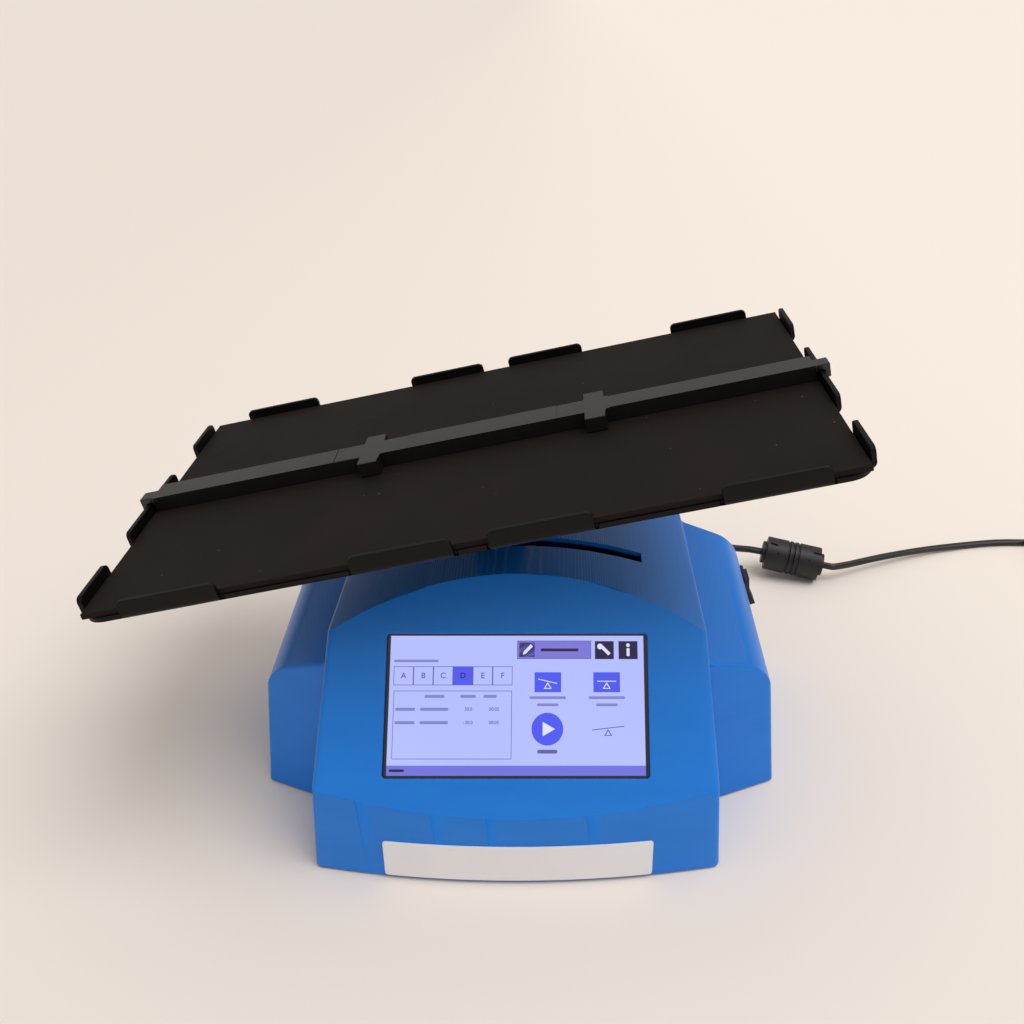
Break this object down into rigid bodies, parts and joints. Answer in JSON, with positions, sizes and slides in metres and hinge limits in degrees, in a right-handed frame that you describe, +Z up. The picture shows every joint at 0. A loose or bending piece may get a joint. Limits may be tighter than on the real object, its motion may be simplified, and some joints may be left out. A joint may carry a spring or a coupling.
{
  "type": "rocking platform shaker",
  "caption": "Bench rocker: a tilting black tray with mat, tabs and plate divider on a blue printed housing with a sloped touch display and corded supply.",
  "frame": {"origin": "on the table under the rocking axis, at the middle of the slot", "axes": "+X to the right along the tray, +Y to the rear along the rocking axis, +Z up"},
  "size_m": [0.81, 0.4022, 0.2841],
  "materials": {
    "blue_print": "fine layer lines",
    "aluminium_sheet": "brushed",
    "foot_rubber": "matte",
    "zinc_steel": "satin",
    "label_plastic": "smooth",
    "display_glass": "lit screen behind smooth glass",
    "panel_frame": "satin",
    "circuit_board": "solder mask",
    "brass": "turned",
    "cast_aluminium": "machined",
    "bearing_steel": "ground",
    "motor_black": "satin",
    "steel_sheet": "satin",
    "belt_rubber": "matte",
    "pulley_aluminium": "turned",
    "ground_steel": "ground",
    "black_print": "layer lines",
    "magnet_nickel": "plated",
    "black_plate": "matte",
    "tray_black": "matte",
    "mat_rubber": "matte",
    "divider_black": "satin",
    "switch_black": "satin",
    "connector_black": "satin",
    "cord_black": "satin sheath"
  },
  "bodies": {
    "base": {"housing_shell": "blue_print", "base_plate": "aluminium_sheet", "rubber_feet": "foot_rubber", "base_screws": "zinc_steel", "label_plate": "label_plastic", "display_glass": "display_glass", "display_panel": "panel_frame", "display_screws": "zinc_steel", "controller_board": "circuit_board", "board_standoffs": "brass", "board_screws": "zinc_steel", "bearing_stand_front": "cast_aluminium", "bearing_stand_rear": "cast_aluminium", "bearing_front": "bearing_steel", "bearing_rear": "bearing_steel", "stand_screws": "zinc_steel", "bracket_screws": "zinc_steel", "stepper_motor": "motor_black", "motor_bracket": "steel_sheet", "motor_screws": "zinc_steel", "drive_belt": "belt_rubber", "position_sensor": "circuit_board", "sensor_bracket": "steel_sheet", "switch_body": "switch_black", "power_jack": "connector_black", "power_plug": "connector_black", "cord_lead": "cord_black", "ferrite_core": "cord_black", "cord_coil": "cord_black", "cord_tail": "cord_black", "power_adapter": "connector_black", "adapter_blades": "bearing_steel"},
    "rocker": {"rocker_shaft": "ground_steel", "driven_pulley": "pulley_aluminium", "rocker_arm": "black_print", "arm_clamp_screws": "zinc_steel", "sensor_magnet": "magnet_nickel", "mount_plate": "black_plate", "mount_screws": "zinc_steel", "tray": "tray_black", "tray_screws": "zinc_steel", "tray_mat": "mat_rubber"},
    "motor_rotor": {"motor_pulley": "pulley_aluminium"},
    "divider": {"divider_left_bar": "divider_black", "divider_left_cross": "divider_black", "divider_middle_bar": "divider_black", "divider_right_cross": "divider_black", "divider_right_bar": "divider_black"},
    "switch_paddle": {"switch_rocker": "switch_black"}
  },
  "joints": [
    {"name": "platform_tilt", "type": "hinge", "parent": "base", "child": "rocker", "pos_m": [0, 0, 0.104], "axis": [0, 1, 0], "range_deg": [-17.75, 42.25]},
    {"name": "motor_spin", "type": "hinge", "parent": "base", "child": "motor_rotor", "pos_m": [0, 0.034, 0.042], "axis": [0, 1, 0], "range_deg": [-67, 159]},
    {"name": "divider_lift", "type": "slide", "parent": "rocker", "child": "divider", "axis": [-0.2122, 0, 0.9772], "range_m": [0, 0.06]},
    {"name": "switch_flip", "type": "hinge", "parent": "base", "child": "switch_paddle", "pos_m": [0.16212, 0.068, 0.08088], "axis": [0, 1, 0], "range_deg": [0, 20]}
  ],
  "couplings": [
    {"joint": "motor_spin", "follows": "platform_tilt", "ratio": 3.75}
  ]
}
